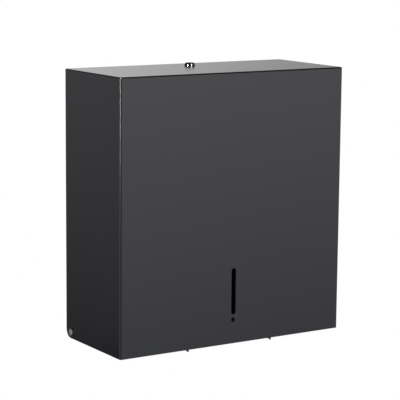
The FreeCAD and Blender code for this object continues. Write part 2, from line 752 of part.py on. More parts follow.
def cam_screw():
    body = lock_body("cam_screw")
    head = new_sketch(body, "head_outline", "XY_Plane", "cam_top - cam_sheet - cam_screw_head")
    regular(head, 6, "cam_screw_flats")
    pad(body, "head", head, "cam_screw_head")
    thread = new_sketch(body, "thread_outline", "XY_Plane", "cam_top - cam_sheet")
    circle(thread, "0", "0", "cam_screw_radius")
    pad(body, "thread", thread, "cam_screw_length - running_gap")


# Spool and axle, in order from the wall.
def spindle():
    """A weldment: a round plate and the bar that stands on it, tapped in its front end."""
    body = new_body("spindle")
    tapped = "spool_thread_radius + running_gap"
    turned(body, "weldment", "YZ_Plane", [
        ("-plate_sheet", "0"),
        ("-plate_sheet", "spindle_plate_radius"),
        ("-spindle_seat", "spindle_plate_radius"),
        ("-spindle_seat", "axle_radius"),
        ("-axle_front", "axle_radius"),
        ("-axle_front", tapped),
        ("-axle_front + tapped_depth", tapped),
        ("-axle_front + tapped_depth", "0"),
    ], "x")


def spool():
    """A moulded hub: a bearing tube and a shell joined by the rear collar and by radial ribs."""
    body = new_body("spool")
    sleeve = "bore_radius + spool_wall"
    turned(body, "shell", "YZ_Plane", [
        ("-spool_rear", "bore_radius"),
        ("-spool_rear", "collar_radius"),
        ("-barrel_start", "collar_radius"),
        ("-barrel_start", "barrel_outer"),
        ("-barrel_end", "barrel_outer"),
        ("-spool_front", "nose_radius"),
        ("-spool_front", "barrel_outer - spool_wall"),
        ("-barrel_start", "barrel_outer - spool_wall"),
        ("-barrel_start", sleeve),
        ("-spool_front", sleeve),
        ("-spool_front", "bore_radius"),
    ], "x")
    rib = new_sketch(body, "rib_outline", "YZ_Plane")
    overlap = "spool_wall / 2"
    rectangle(
        rib,
        "-spool_front + rib_setback + nose_length",
        f"-barrel_start + {overlap}",
        f"bore_radius + {overlap}",
        f"barrel_outer - {overlap}",
    )
    one = pad(body, "rib", rib, "rib_width", both=True)
    ring_of(body, "ribs", one, "Y_Axis", "rib_count")


def spool_screw():
    body = new_body("spool_screw")
    head = "(axle_front + spool_flange)"
    tip = "-(axle_front - spool_screw_length)"
    turned(body, "screw", "YZ_Plane", [
        (tip, "0"),
        (tip, "spool_thread_radius"),
        ("-axle_front", "spool_thread_radius"),
        ("-axle_front", "spool_flange_radius"),
        (f"-{head}", "spool_flange_radius"),
        (f"-{head}", "spool_head_radius"),
        (f"-{head} - spool_head", "spool_head_radius"),
        (f"-{head} - spool_head", "0"),
    ], "x")
    hex_socket(body, "socket", "XZ_Plane", f"{head} + spool_head", "socket_flats", "spool_head * 0.6")


cover_shell()
back_plate()
bottom_tray()
tear_blade("tear_blade_left", -1)
tear_blade("tear_blade_right", 1)
blade_rivets()
hinge_screws()
hinge_bushes()
hinge_nuts()
lock_barrel()
lock_nut()
lock_plug()
lock_cam()
cam_screw()
spindle()
spool()
spool_screw()

document.recompute()
faults = []
for thing in document.Objects:
    if "Invalid" in thing.State or "Error" in thing.State:
        faults.append(f"{thing.Label}: {thing.State}")
for body in subparts:
    if body.Shape.isNull() or not body.Shape.isValid() or body.Shape.Volume <= 0:
        faults.append(f"{body.Label}: no valid solid")
if faults:
    raise SystemExit("\n".join(faults))

os.makedirs("parts", exist_ok=True)
for body in subparts:
    body.Shape.exportStep(f"parts/{body.Label}.step")
    solids = len(body.Shape.Solids)
    print(f"{body.Label}: {solids} solid(s), {body.Shape.Volume:.1f} cubic mm")
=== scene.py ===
"""Looks, lamps and camera for the jumbo toilet roll dispenser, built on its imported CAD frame.

Everything is in metres in the part's own frame: X across the front, +Z up, the wall at Y = 0 and
the front face at negative Y. Profiles, and the points made from them, are in millimetres until
stand() places them.
"""

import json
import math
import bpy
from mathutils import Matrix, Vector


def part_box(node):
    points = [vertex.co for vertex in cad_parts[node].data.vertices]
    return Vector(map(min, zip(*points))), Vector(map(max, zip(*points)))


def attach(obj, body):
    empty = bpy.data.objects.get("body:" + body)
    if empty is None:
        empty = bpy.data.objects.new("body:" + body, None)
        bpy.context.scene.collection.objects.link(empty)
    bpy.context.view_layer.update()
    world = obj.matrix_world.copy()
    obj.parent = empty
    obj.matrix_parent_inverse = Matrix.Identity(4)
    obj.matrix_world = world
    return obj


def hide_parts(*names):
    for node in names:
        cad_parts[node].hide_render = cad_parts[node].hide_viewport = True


bl_info = {
    "name": "Jumbo Toilet Roll Dispenser",
    "version": (1, 0, 0),
    "blender": (4, 5, 0),
    "location": "View3D > Sidebar > Dispenser",
    "description": "Dresses the dispenser's CAD pieces and sets its studio",
    "category": "Object",
}

import bmesh
import bpy
import numpy as np
from mathutils import Matrix, Vector

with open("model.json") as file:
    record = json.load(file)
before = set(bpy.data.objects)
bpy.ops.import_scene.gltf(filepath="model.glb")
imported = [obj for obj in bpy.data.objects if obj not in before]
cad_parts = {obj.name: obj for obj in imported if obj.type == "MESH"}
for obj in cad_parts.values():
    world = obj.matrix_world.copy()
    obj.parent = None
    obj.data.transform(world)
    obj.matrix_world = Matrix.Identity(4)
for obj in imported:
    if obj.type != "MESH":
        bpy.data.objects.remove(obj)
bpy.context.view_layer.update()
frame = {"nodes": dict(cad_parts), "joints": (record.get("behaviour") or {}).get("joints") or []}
MM = 0.001
SAME = 0.03  # millimetres within which two places or radii of a CAD piece are one
JOINTS = {joint["name"]: np.array(joint["pos_m"]) for joint in frame["joints"]}
RIGHT, AHEAD, UP = (1, 0, 0), (0, -1, 0), (0, 0, 1)
HEXAGON = 2 * math.cos(math.pi / 6)  # across flats of a hexagon whose corners lie 1 from its middle
MIDDLE = (0, -0.064, 0)  # near the cover's own, where the lamps are aimed


def shade(hex_colour):
    """Linear colour of an sRGB hex value: the sRGB curve undone channel by channel."""
    channels = np.array([int(hex_colour[i:i + 2], 16) for i in (1, 3, 5)]) / 255
    linear = np.where(channels <= 0.04045, channels / 12.92, ((channels + 0.055) / 1.055) ** 2.4)
    return tuple(float(value) for value in linear)


# Settings that a user would change

def size(name, millimetres, description):
    return bpy.props.FloatProperty(
        name=name, description=description, default=millimetres * MM, min=0, unit="LENGTH",
        precision=5)


def share(name, value, description):
    return bpy.props.FloatProperty(
        name=name, description=description, default=value, min=0, max=1, subtype="FACTOR")


def angle(name, degrees, description):
    return bpy.props.FloatProperty(
        name=name, description=description, default=math.radians(degrees), subtype="ANGLE")


def power(name, watts, description):
    return bpy.props.FloatProperty(
        name=name, description=description, default=watts, min=0, unit="POWER")


def tint(name, hex_colour, description):
    return bpy.props.FloatVectorProperty(
        name=name, description=description, default=shade(hex_colour), min=0, max=1, size=3,
        subtype="COLOR")


class CoatSettings(bpy.types.PropertyGroup):
    colour: tint("Coat", "#1a1b1e", "Colour of the black powder coat")
    roughness: share("Roughness", 0.16, "Roughness of the powder coat")
    waves: size("Waves", 1.1, "Size of the soft waves in the powder coat")
    grain: size("Grain", 0.35, "Size of the fine texture in the powder coat")
    cut_edge: size("Cut edge", 0.22, "Radius that the coat gives to cut sheet edges")
    blade_edge: size("Blade edge", 0.1, "Radius that the coat gives to the tear teeth")


class FittingSettings(bpy.types.PropertyGroup):
    zinc: tint("Zinc plate", "#b9bcc0", "Colour of the zinc plating")
    stainless: tint("Stainless steel", "#9c9c9b", "Colour of the hinge screws")
    enamel: tint("Lock enamel", "#060607", "Colour of the glossy lock")
    nylon: tint("Nylon", "#0d0d0e", "Colour of the hinge bushes")
    fine_thread: size("Fine thread", 0.7, "Pitch of the hinge screws")
    coarse_thread: size("Coarse thread", 1.0, "Pitch of the lock's barrel and the spool's screw")
    weld: size("Weld", 2.9, "Radius of the spot welds' dimples")


class SpoolSettings(bpy.types.PropertyGroup):
    colour: tint("Spool", "#9a9c9e", "Colour of the moulded spool")
    edge: size("Edge", 0.5, "Radius on the spool's moulded edges")
    rib: size("Rib", 1.6, "Thickness of the spool's ribs")
    ribs: bpy.props.IntProperty(name="Ribs", description="Ribs inside the spool", default=6, min=3)


class StageSettings(bpy.types.PropertyGroup):
    aim: bpy.props.FloatVectorProperty(
        name="Aim", description="Point that the camera looks at",
        default=(-0.00404, -0.06113, 0.00751), size=3, subtype="XYZ", unit="LENGTH")
    azimuth: angle("Azimuth", -32.48, "Turn of the camera about the dispenser, to its left below 0")
    elevation: angle("Elevation", 9.42, "Height of the camera as an angle")
    roll: angle("Roll", 0.5, "Tilt of the camera")
    distance: size("Distance", 1937, "Camera to the point that it looks at")
    lens: bpy.props.FloatProperty(
        name="Lens", description="Focal length on a 36 mm sensor", default=149.53, min=1,
        unit="CAMERA")
    drop: size("Floor drop", 2100, "Dispenser's middle to the floor")
    left_lamp: power("Left lamp", 15, "Power of the strip lamp on the left")
    high_lamp: power("High lamp", 45, "Power of the softbox above, to the right of the camera")
    lock_lamp: power("Lock lamp", 5.5, "Power of the narrow lamp on the left that lights the lock")


# Materials

def feed(node, sockets):
    """Set a node's sockets, by name or number, to values or to other nodes' outputs. A Mix node for
    colours takes its factor at 0 and its colours at 6 and 7, and gives its result at 2."""
    for name, value in sockets.items():
        if isinstance(value, bpy.types.NodeSocket):
            node.id_data.links.new(value, node.inputs[name])
        else:
            node.inputs[name].default_value = value
    return node


def add(owner, kind, sockets, **settings):
    """Add a node to a material or world, with its settings, and feed its sockets."""
    node = owner.node_tree.nodes.new(kind)
    for name, value in settings.items():
        setattr(node, name, value)
    return feed(node, sockets)


def start(name, colour, sockets):
    """A material, its shader and its Object coordinates."""
    material = bpy.data.materials.new(name)
    material.use_nodes = True
    material.diffuse_color = (*colour, 1)
    shader = feed(material.node_tree.nodes["Principled BSDF"], {
        "Base Color": (*colour, 1), **sockets})
    return material, shader, add(material, "ShaderNodeTexCoord", {}).outputs["Object"]


def toned(colour, *factors):
    """A colour with each channel multiplied by its factor, or all by one, as a socket takes it."""
    return (*(np.array(colour) * factors).tolist(), 1)


def powder_coat_sprayed_and_baked(coat):
    """Black polyester powder, sprayed and baked on steel. It flows into soft waves about a
    millimetre apart with a finer grain on top, which breaks its highlights into a satin sheen."""
    material, shader, place = start("powder_coat_sprayed_and_baked", coat.colour, {"IOR": 1.5})
    waves = add(material, "ShaderNodeTexNoise", {
        "Vector": place, "Scale": 1 / coat.waves, "Detail": 2})
    grain = add(material, "ShaderNodeTexNoise", {
        "Vector": place, "Scale": 1 / coat.grain, "Detail": 1})
    patches = add(material, "ShaderNodeTexNoise", {
        "Vector": place, "Scale": 1 / (14 * MM), "Detail": 2})
    colour = add(material, "ShaderNodeMix", {
        0: grain.outputs["Fac"], 6: toned(coat.colour, 0.86), 7: toned(coat.colour, 1.14)},
        data_type="RGBA")
    satin = add(material, "ShaderNodeMapRange", {
        "Value": patches.outputs["Fac"], "From Min": 0.3, "From Max": 0.7,
        "To Min": coat.roughness - 0.004, "To Max": coat.roughness + 0.004})
    soft = add(material, "ShaderNodeBump", {
        "Height": waves.outputs["Fac"], "Distance": 0.03 * MM, "Strength": 0.06})
    fine = add(material, "ShaderNodeBump", {
        "Height": grain.outputs["Fac"], "Distance": 0.012 * MM, "Strength": 0.12,
        "Normal": soft.outputs["Normal"]})
    feed(shader, {
        "Base Color": colour.outputs[2], "Roughness": satin.outputs["Result"],
        "Normal": fine.outputs["Normal"]})
    return material


def zinc_plate_over_rolled_steel(fittings):
    """Bright zinc plating with a clear bluish passivation: a fine, slightly cloudy metal shine."""
    material, shader, place = start(
        "zinc_plate_over_rolled_steel", fittings.zinc, {"Metallic": 1.0})
    clouds = add(material, "ShaderNodeTexNoise", {
        "Vector": place, "Scale": 1 / (2.5 * MM), "Detail": 3})
    pits = add(material, "ShaderNodeTexNoise", {
        "Vector": place, "Scale": 1 / (0.3 * MM), "Detail": 2})
    colour = add(material, "ShaderNodeMix", {
        0: clouds.outputs["Fac"], 6: toned(fittings.zinc, 1),
        7: toned(fittings.zinc, 0.82, 0.86, 0.95)}, data_type="RGBA")
    shine = add(material, "ShaderNodeMapRange", {
        "Value": clouds.outputs["Fac"], "From Min": 0.3, "From Max": 0.7,
        "To Min": 0.26, "To Max": 0.4})
    bump = add(material, "ShaderNodeBump", {
        "Height": pits.outputs["Fac"], "Distance": 0.01 * MM, "Strength": 0.3})
    feed(shader, {
        "Base Color": colour.outputs[2], "Roughness": shine.outputs["Result"],
        "Normal": bump.outputs["Normal"]})
    return material


def stainless_steel_cold_formed(fittings):
    """Stainless steel, cold formed and tumbled: a quiet grey with turning lines round the screw."""
    material, shader, place = start(
        "stainless_steel_cold_formed", fittings.stainless, {"Metallic": 1.0})
    along = add(material, "ShaderNodeMapping", {"Vector": place, "Scale": (8, 1, 1)})
    lines = add(material, "ShaderNodeTexNoise", {
        "Vector": along.outputs["Vector"], "Scale": 1 / (1 * MM), "Detail": 2})
    shine = add(material, "ShaderNodeMapRange", {
        "Value": lines.outputs["Fac"], "From Min": 0.3, "From Max": 0.7,
        "To Min": 0.45, "To Max": 0.6})
    bump = add(material, "ShaderNodeBump", {
        "Height": lines.outputs["Fac"], "Distance": 0.01 * MM, "Strength": 0.25})
    feed(shader, {"Roughness": shine.outputs["Result"], "Normal": bump.outputs["Normal"]})
    return material


def enamel_over_zinc_die_casting(fittings):
    """Zinc die casting under glossy black enamel, which mirrors the lamps in small bright spots."""
    material, shader, place = start(
        "enamel_over_zinc_die_casting", fittings.enamel, {"Roughness": 0.08, "IOR": 1.6})
    flow = add(material, "ShaderNodeTexNoise", {
        "Vector": place, "Scale": 1 / (1.5 * MM), "Detail": 2})
    bump = add(material, "ShaderNodeBump", {
        "Height": flow.outputs["Fac"], "Distance": 0.02 * MM, "Strength": 0.15})
    feed(shader, {"Normal": bump.outputs["Normal"]})
    return material


def nylon_injection_moulded(fittings):
    """Injection moulded nylon 6, satin from its spark-eroded tool."""
    material, shader, place = start(
        "nylon_injection_moulded", fittings.nylon, {"Roughness": 0.5, "IOR": 1.53})
    grain = add(material, "ShaderNodeTexNoise", {
        "Vector": place, "Scale": 1 / (0.3 * MM), "Detail": 2})
    bump = add(material, "ShaderNodeBump", {
        "Height": grain.outputs["Fac"], "Distance": 0.02 * MM, "Strength": 0.4})
    feed(shader, {"Normal": bump.outputs["Normal"]})
    return material


def abs_injection_moulded(spool):
    """Injection moulded grey ABS with a light even texture and a faint flow mottle."""
    material, shader, place = start(
        "abs_injection_moulded", spool.colour, {"Roughness": 0.45, "IOR": 1.54})
    mottle = add(material, "ShaderNodeTexNoise", {
        "Vector": place, "Scale": 1 / (9 * MM), "Detail": 3})
    grain = add(material, "ShaderNodeTexNoise", {
        "Vector": place, "Scale": 1 / (0.25 * MM), "Detail": 2})
    colour = add(material, "ShaderNodeMix", {
        0: mottle.outputs["Fac"], 6: toned(spool.colour, 0.9), 7: toned(spool.colour, 1)},
        data_type="RGBA")
    bump = add(material, "ShaderNodeBump", {
        "Height": grain.outputs["Fac"], "Distance": 0.02 * MM, "Strength": 0.4})
    feed(shader, {"Base Color": colour.outputs[2], "Normal": bump.outputs["Normal"]})
    return material


def shared(finish, settings):
    """The material that a finish makes, made once for all its pieces."""
    return bpy.data.materials.get(finish.__name__) or finish(settings)


# Sizes read from the CAD pieces

def corners(node):
    """Every corner of a CAD node, in millimetres."""
    mesh = frame["nodes"][node].data
    flat = np.empty(3 * len(mesh.vertices), dtype=np.float32)
    mesh.vertices.foreach_get("co", flat)
    return flat.reshape(-1, 3).astype(float) / MM


def distinct(values):
    """The few different numbers in a list: where the sorted values step up by more than SAME."""
    ordered = np.sort(values)
    return ordered[np.append(True, np.diff(ordered) > SAME)]


def stations(points, origin, along):
    """Where a turned CAD piece has corners: (place along its axis, radii there) in millimetres.

    A place is the offset from the origin times the axis. A radius is the root of the offset squared
    less the place squared.
    """
    offset = points - np.array(origin) / MM
    place = offset @ np.array(along, float)
    radius = np.sqrt(np.maximum((offset ** 2).sum(1) - place ** 2, 0))
    return [
        (float(step), distinct(radius[np.abs(place - step) < SAME])) for step in distinct(place)]


# Surfaces

def unit(vectors):
    """Vectors divided by their lengths."""
    return vectors / np.maximum(np.linalg.norm(vectors, axis=-1, keepdims=True), 1e-12)


def rounded(profile, steps=5, closed=False):
    """A profile of (place, radius, across flats, rounding) corners with its corners rounded.

    A rounding of r touches both sides of a corner at r / tan(half its angle). Its circle's centre
    lies r / sin(half the angle) along the bisector, and its points swing evenly from one touching
    point to the other about that centre. Returns rows of (place, radius, across flats).
    """
    data = np.array(profile, float)
    spot, flats, rounding = data[:, :2], data[:, 2], data[:, 3:4]
    back = unit(np.roll(spot, 1, 0) - spot)
    ahead = unit(np.roll(spot, -1, 0) - spot)
    half = np.arccos(np.clip((back * ahead).sum(1, keepdims=True), -1, 1)) / 2
    half = np.clip(half, 0.05, math.pi / 2 - 1e-6)  # keeps straight and folded corners finite
    if not closed:
        rounding[[0, -1]] = 0
    first = spot + back * rounding / np.tan(half)
    last = spot + ahead * rounding / np.tan(half)
    centre = spot + unit(back + ahead) * rounding / np.sin(half)
    swing = math.pi - 2 * half
    along = np.linspace(0, 1, steps)[None, :, None]
    first_arm, last_arm = (first - centre)[:, None], (last - centre)[:, None]
    weight = np.maximum(np.sin(swing), 1e-9)[:, None]
    arm = (np.sin((1 - along) * swing[:, None]) * first_arm
           + np.sin(along * swing[:, None]) * last_arm) / weight
    points = centre[:, None] + np.where(rounding[:, None] > 0, arm, 0)
    rows = np.concatenate([points, np.repeat(flats[:, None, None], steps, 1)], 2).reshape(-1, 3)
    keep = np.append(True, np.abs(np.diff(rows, axis=0)).max(1) > 1e-4)
    return rows[keep]


def finer(rows, low, high, step):
    """Split the straight stretch of a profile that covers two places into even parts: as many as
    whole steps fit between them. Part i of n starts i / n of the way along the stretch."""
    at = np.where((rows[:-1, 0] <= low + 1e-6) & (rows[1:, 0] >= high - 1e-6))[0][0]
    count = int((high - low) / step)
    along = np.linspace(0, 1, count + 1)[1:-1, None]
    return np.insert(rows, at + 1, rows[at] + (rows[at + 1] - rows[at]) * along, axis=0)


def turned(rows, columns=60, sides=6, turn=0.0, thread=None):
    """Turn a profile about its axis.

    A row with no flats is a circle. One with flats takes the smaller of its radius and the regular
    polygon's edge, which at angle a lies at (half the flats) / cos(a folded into one side). A
    thread (start, end, pitch, depth) cuts the radius by depth times a triangle wave of place /
    pitch minus the share of a full turn, and fades over one pitch at each end.
    """
    around = turn + np.arange(columns) * 2 * math.pi / columns
    side = 2 * math.pi / sides
    folded = np.mod(around - turn, side) - side / 2
    place, radius, flats = (rows[:, i:i + 1] for i in range(3))
    edge = np.where(flats > 0, flats / 2, 1e9) / np.cos(folded)[None]
    reach = np.minimum(radius, edge)
    if thread:
        low, high, pitch, depth = thread
        wave = np.abs(np.mod(place / pitch - (around / (2 * math.pi))[None], 1) * 2 - 1)
        fade = np.clip(np.minimum(place - low, high - place) / pitch, 0, 1)
        reach = reach - depth * wave * fade
    return np.stack([reach * np.cos(around), reach * np.sin(around), place + 0 * reach], 2)


def stand(points, origin, along, up=UP):
    """Place millimetre points whose third number runs along an axis, and return metres.

    A point (a, b, c) goes to origin + a first + b second + c axis. Second is up less its part along
    the axis, and first is second cross axis.
    """
    axis = unit(np.array(along, float))
    second = unit(np.array(up, float) - axis * (axis @ np.array(up, float)))
    first = np.cross(second, axis)
    return points @ np.stack([first, second, axis]) * MM + np.array(origin, float)


def skin(points, closed=False):
    """A mesh over a grid of points, one face for each four neighbours. Columns join up, and rows do
    too where closed. Poles and seams are merged, then the faces are turned outwards."""
    rows, columns = points.shape[:2]
    index = np.arange(rows * columns).reshape(rows, columns)
    below = index if closed else index[:-1]
    above = np.roll(index, -1, 0) if closed else index[1:]
    quads = np.stack([below, np.roll(below, -1, 1), np.roll(above, -1, 1), above], 2)
    mesh = bpy.data.meshes.new("skin")
    mesh.from_pydata(points.reshape(-1, 3), [], quads.reshape(-1, 4).tolist())
    shell = bmesh.new()
    shell.from_mesh(mesh)
    bmesh.ops.remove_doubles(shell, verts=shell.verts, dist=1e-6)
    bmesh.ops.recalc_face_normals(shell, faces=shell.faces)
    shell.to_mesh(mesh)
    shell.free()
    return mesh


def join(meshes):
    """One mesh that holds several."""
    whole = bmesh.new()
    for mesh in meshes:
        whole.from_mesh(mesh)
        bpy.data.meshes.remove(mesh)
    mesh = bpy.data.meshes.new("joined")
    whole.to_mesh(mesh)
    whole.free()
    return mesh


def show(meshes, name, body, material, slot, nodes=(), sharp=32.0):
    """Make the piece: smooth faces with sharp edges past an angle, riding on its body."""
    mesh = join(meshes)
    mesh.name = name
    mesh.shade_smooth()
    mesh.set_sharp_from_angle(angle=math.radians(sharp))
    mesh.materials.append(material)
    piece = bpy.data.objects.new(name, mesh)
    bpy.context.scene.collection.objects.link(piece)
    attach(piece, body)
    if nodes:
        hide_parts(*nodes)
    return piece


def folded_sheet(node, name, edge, body, material, slot, reshape=None):
    """A sheet metal piece from a copy of its node: merged, reshaped where a function is given, its
    flat areas joined, and its cut edges rounded as paint or plating rounds them."""
    copy = bmesh.new()
    copy.from_mesh(frame["nodes"][node].data)
    bmesh.ops.remove_doubles(copy, verts=copy.verts, dist=1e-6)
    if reshape:
        reshape(copy)
    bmesh.ops.dissolve_limit(
        copy, angle_limit=math.radians(0.2), verts=copy.verts, edges=copy.edges)
    mesh = bpy.data.meshes.new(name)
    copy.to_mesh(mesh)
    copy.free()
    piece = show([mesh], name, body, material, slot, [node], sharp=40)
    bevel = piece.modifiers.new("rounded_cut_edges", "BEVEL")
    bevel.width = edge
    bevel.segments = 2
    bevel.limit_method = "ANGLE"
    bevel.angle_limit = math.radians(50)
    weighted = piece.modifiers.new("flat_areas_stay_flat", "WEIGHTED_NORMAL")
    weighted.mode = "FACE_AREA"
    weighted.weight = 100
    weighted.keep_sharp = True


# Operators, one for each piece or group of like pieces

class DISPENSER_OT_cover(bpy.types.Operator):
    """Folded steel cover with its sight slot, round hole, lock hole and pivot holes"""
    bl_idname = "dispenser.cover"
    bl_label = "Cover"

    def execute(self, context):
        coat = context.scene.dispenser_coat
        material = shared(powder_coat_sprayed_and_baked, coat)
        folded_sheet(
            "cover_shell", "cover_sheet", coat.cut_edge, "cover", material, "black_powder_coat")
        return {"FINISHED"}


class DISPENSER_OT_frame(bpy.types.Operator):
    """Welded frame on the wall: back plate, bottom tray, spindle and its spot welds' dimples"""
    bl_idname = "dispenser.frame"
    bl_label = "Frame"

    def execute(self, context):
        coat = context.scene.dispenser_coat
        material = shared(powder_coat_sprayed_and_baked, coat)
        slot = "black_powder_coat"
        folded_sheet("back_plate", "wall_plate", coat.cut_edge, "wall_frame", material, slot)
        folded_sheet("bottom_tray", "paper_tray", coat.cut_edge, "wall_frame", material, slot)
        folded_sheet("spindle", "spindle_weldment", coat.cut_edge, "wall_frame", material, slot)
        # Each weld leaves a shallow dimple with a faint raised ring on the tray's side folds. The
        # hinge nuts bear on the same inner faces, and the welds lie in a row in front of them.
        radius = context.scene.dispenser_fittings.weld / MM
        dimple = rounded([
            (-0.3, 0, 0, 0), (-0.3, radius, 0, 0), (0, radius, 0, 0.05),
            (0.14, radius - 0.35, 0, 0.2), (0.04, radius - 1.0, 0, 0.4), (0.04, 0, 0, 0)])
        inner_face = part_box("hinge_nuts")[1].x
        low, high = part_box("bottom_tray")
        level = (low.z + high.z) / 2
        row = (-34 * MM, -49 * MM, -64 * MM)
        welds = [
            skin(stand(turned(dimple, 32), (side * inner_face, y, level), (-side, 0, 0)))
            for side in (-1, 1) for y in row]
        show(welds, "spot_welds", "wall_frame", material, slot)
        return {"FINISHED"}


class DISPENSER_OT_blades(bpy.types.Operator):
    """Serrated tear blades under the tray, with their blind rivets"""
    bl_idname = "dispenser.blades"
    bl_label = "Tear blades"

    def execute(self, context):
        coat = context.scene.dispenser_coat
        material = shared(powder_coat_sprayed_and_baked, coat)
        for side in ("left", "right"):
            folded_sheet(
                f"tear_blade_{side}", f"serrated_blade_{side}", coat.blade_edge, "wall_frame",
                material, "black_powder_coat", self.lead_tooth)
        points = corners("blade_rivets")
        front = points[:, 1] < points[:, 1].mean()
        one = points[front & (points[:, 0] > 0)]
        middle = (one.min(0) + one.max(0)) / 2
        (low, head), (seat, _), (top, shank) = (
            (place, radii[-1]) for place, radii in stations(one, (*middle[:2] * MM, 0), UP))
        # Domed head with the pulled stem's dimple, shank, and the bulged blind end in the tray.
        rivet = rounded([
            (low + 0.45, 0, 0, 0), (low + 0.45, 0.75, 0, 0), (low, 0.95, 0, 0.1),
            (low + 0.1, 2.1, 0, 0.8), (low + 0.75, head, 0, 0.2), (seat, head, 0, 0),
            (seat, shank, 0, 0), (top - 1.2, shank, 0, 0), (top - 1.15, shank + 0.8, 0, 0.4),
            (top - 0.05, shank + 0.6, 0, 0.6), (top, 0, 0, 0)])
        rear = points[~front & (points[:, 0] > 0)]
        levels = middle[1] * MM, (rear[:, 1].min() + rear[:, 1].max()) / 2 * MM
        rivets = [
            skin(stand(turned(rivet, 36), (side * middle[0] * MM, y, 0), UP, AHEAD))
            for side in (-1, 1) for y in levels]
        zinc = shared(zinc_plate_over_rolled_steel, context.scene.dispenser_fittings)
        show(rivets, "blind_rivets", "wall_frame", zinc, "zinc_plated_steel", ["blade_rivets"])
        return {"FINISHED"}

    def lead_tooth(self, blade):
        """Each blade starts with one larger tooth. Over its length the teeth's corners move to a
        line that rises from the tip: to slope times their distance behind the blade's front end."""
        length, teeth, slope = 13 * MM, 2 * MM, math.tan(math.radians(9))
        front, tip = min(v.co.y for v in blade.verts), min(v.co.z for v in blade.verts)
        for corner in blade.verts:
            behind = corner.co.y - front
            if behind < length and corner.co.z < tip + teeth:
                corner.co.z = tip + behind * slope


class DISPENSER_OT_hinges(bpy.types.Operator):
    """Shouldered hinge screws with low heads, their nuts, and the nylon bushes they carry"""
    bl_idname = "dispenser.hinges"
    bl_label = "Hinges"

    def execute(self, context):
        fittings = context.scene.dispenser_fittings
        axis = JOINTS["cover_swing"]
        screw, bush, nut = (
            stations(points[points[:, 0] > 0], axis, RIGHT)
            for points in map(corners, ("hinge_screws", "hinge_bushes", "hinge_nuts")))
        (tip, thread), (wall, shoulder), (under, head), (pit, socket), (top, _) = (
            (place, radii[-1]) for place, radii in screw)
        flats = socket * HEXAGON
        # Threaded end, shoulder, and a low head with a rounded rim and a hexagon socket.
        profile = rounded([
            (tip, 0, 0, 0), (tip, thread - 0.4, 0, 0), (tip + 0.4, thread, 0, 0),
            (wall, thread, 0, 0), (wall, shoulder, 0, 0.1), (under, shoulder, 0, 0),
            (under, head, 0, 0.2), (top, head, 0, 0.6), (top, socket + 0.15, 0, 0.05),
            (top - 0.12, socket + 0.05, flats, 0), (pit, socket + 0.05, flats, 0),
            (pit - 0.3, 0, 0, 0)], 7)
        profile = finer(profile, tip + 0.4, wall, 0.12)
        pitch = fittings.fine_thread / MM
        screws = turned(profile, 48, thread=(tip + 0.2, wall, pitch, 0.54 * pitch))
        (inside, (bore, barrel)), (face, (_, flange)), (end, _) = bush
        bushes = turned(rounded([
            (inside, bore, 0, 0.15), (inside, barrel, 0, 0.3), (face, barrel, 0, 0),
            (face, flange, 0, 0.1), (end, flange, 0, 0.3), (end, bore, 0, 0.15)], closed=True))
        (low, (bore, corner)), (high, _) = nut
        flats = corner * HEXAGON
        profile = rounded([
            (low, bore, 0, 0), (low, flats / 2, flats, 0), (low + 0.35, corner, flats, 0),
            (high - 0.35, corner, flats, 0), (high, flats / 2, flats, 0), (high, bore, 0, 0)],
            2, closed=True)
        # Rows along the chamfer draw the curved edge where it meets the flats.
        nuts = turned(finer(profile, low, low + 0.35, 0.09), 48)
        steel = shared(stainless_steel_cold_formed, fittings)
        nylon = shared(nylon_injection_moulded, fittings)
        zinc = shared(zinc_plate_over_rolled_steel, fittings)
        middle = (0, axis[1], axis[2])
        for grid, closed, *piece in (
                (screws, False, "hinge_pivots", "wall_frame", steel, "stainless_steel",
                 ["hinge_screws"]),
                (bushes, True, "pivot_bushes", "cover", nylon, "black_nylon", ["hinge_bushes"]),
                (nuts, True, "pivot_nuts", "wall_frame", zinc, "zinc_plated_steel",
                 ["hinge_nuts"])):
            show([skin(stand(grid, middle, (side, 0, 0)), closed) for side in (-1, 1)], *piece)
        return {"FINISHED"}


